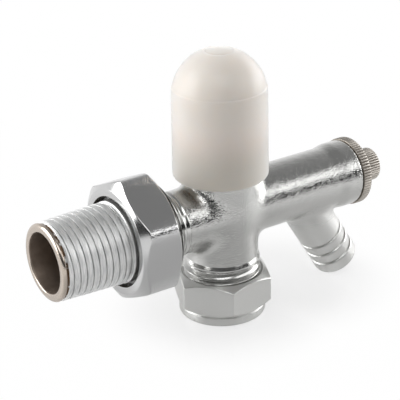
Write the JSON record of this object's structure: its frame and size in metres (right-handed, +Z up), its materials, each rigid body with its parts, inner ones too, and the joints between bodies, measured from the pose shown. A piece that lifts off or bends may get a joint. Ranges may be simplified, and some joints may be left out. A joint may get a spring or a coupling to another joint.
{
  "type": "angled lockshield radiator valve with drain-off",
  "caption": "Angled lockshield radiator valve for 15 mm pipe: threaded union tail, compression nut, drain tube with a barbed hose tail and knurled spindle, and a white domed cap.",
  "frame": {"origin": "on the pipe's axis, in the bottom face of the compression nut", "axes": "+Z up along the pipe and the spindle, -X out along the radiator tail, +X out along the drain tube"},
  "size_m": [0.1052, 0.0312, 0.0744],
  "materials": {
    "forged_chrome": "bright chrome over an as-forged skin with a fine pebbled grain",
    "turned_chrome": "bright chrome over turned and milled faces",
    "plated_tail": "nickel plate over brass, warm at the open lip, dark inside",
    "knurled_nickel": "dull nickel plate on straight knurls",
    "white_plastic": "milky white moulding with a soft gloss",
    "raw_brass": "turned brass, unplated",
    "black_rubber": "smooth black rubber",
    "white_packing": "white packing ring",
    "grey_fibre": "dark pressed fibre"
  },
  "bodies": {
    "valve": {"valve_body": "forged_chrome", "bonnet": "raw_brass", "bonnet_seal": "grey_fibre", "gland_nut": "raw_brass", "gland_washer": "raw_brass", "gland_packing": "white_packing", "drain_gland": "knurled_nickel", "drain_gland_seal": "grey_fibre", "drain_packing": "white_packing"},
    "cap": {"lockshield_cap": "white_plastic"},
    "plug": {"valve_plug": "raw_brass", "plug_washer": "black_rubber", "plug_nut": "raw_brass"},
    "spindle": {"regulating_spindle": "raw_brass"},
    "tail": {"tail_piece": "plated_tail", "union_o_ring": "black_rubber"},
    "union_ring": {"union_nut": "turned_chrome"},
    "olive_ring": {"olive": "raw_brass"},
    "pipe_nut": {"compression_nut": "turned_chrome"},
    "drain_stop": {"drain_plug": "raw_brass", "drain_washer": "black_rubber", "drain_nut": "raw_brass"},
    "drain_screw": {"drain_spindle": "knurled_nickel"}
  },
  "joints": [
    {"name": "cap_pull", "type": "slide", "parent": "valve", "child": "cap", "axis": [0, 0, 1], "range_m": [0, 0.03]},
    {"name": "plug_lift", "type": "slide", "parent": "valve", "child": "plug", "axis": [0, 0, 1], "range_m": [0, 0.004]},
    {"name": "spindle_turn", "type": "hinge", "parent": "plug", "child": "spindle", "pos_m": [0, 0, 0.0616], "axis": [0, 0, 1], "range_deg": [0, 1441]},
    {"name": "tail_draw", "type": "slide", "parent": "valve", "child": "tail", "axis": [-1, 0, 0], "range_m": [0, 0.00816]},
    {"name": "union_nut_turn", "type": "hinge", "parent": "tail", "child": "union_ring", "pos_m": [-0.0275, 0, 0.0293], "axis": [-1, 0, 0], "range_deg": [0, 1620]},
    {"name": "olive_draw", "type": "slide", "parent": "valve", "child": "olive_ring", "axis": [0, 0, -1], "range_m": [0, 0.00453]},
    {"name": "pipe_nut_turn", "type": "hinge", "parent": "olive_ring", "child": "pipe_nut", "pos_m": [0, 0, 0.006], "axis": [0, 0, -1], "range_deg": [0, 900]},
    {"name": "drain_lift", "type": "slide", "parent": "valve", "child": "drain_stop", "axis": [1, 0, 0], "range_m": [0, 0.005]},
    {"name": "drain_turn", "type": "hinge", "parent": "drain_stop", "child": "drain_screw", "pos_m": [0.048, 0, 0.0293], "axis": [1, 0, 0], "range_deg": [0, 1441]}
  ],
  "couplings": [
    {"joint": "spindle_turn", "follows": "plug_lift", "rad_per_m": 6283.2},
    {"joint": "union_nut_turn", "follows": "tail_draw", "rad_per_m": 3463.7},
    {"joint": "pipe_nut_turn", "follows": "olive_draw", "rad_per_m": 3463.7},
    {"joint": "drain_turn", "follows": "drain_lift", "rad_per_m": 5026.5}
  ]
}
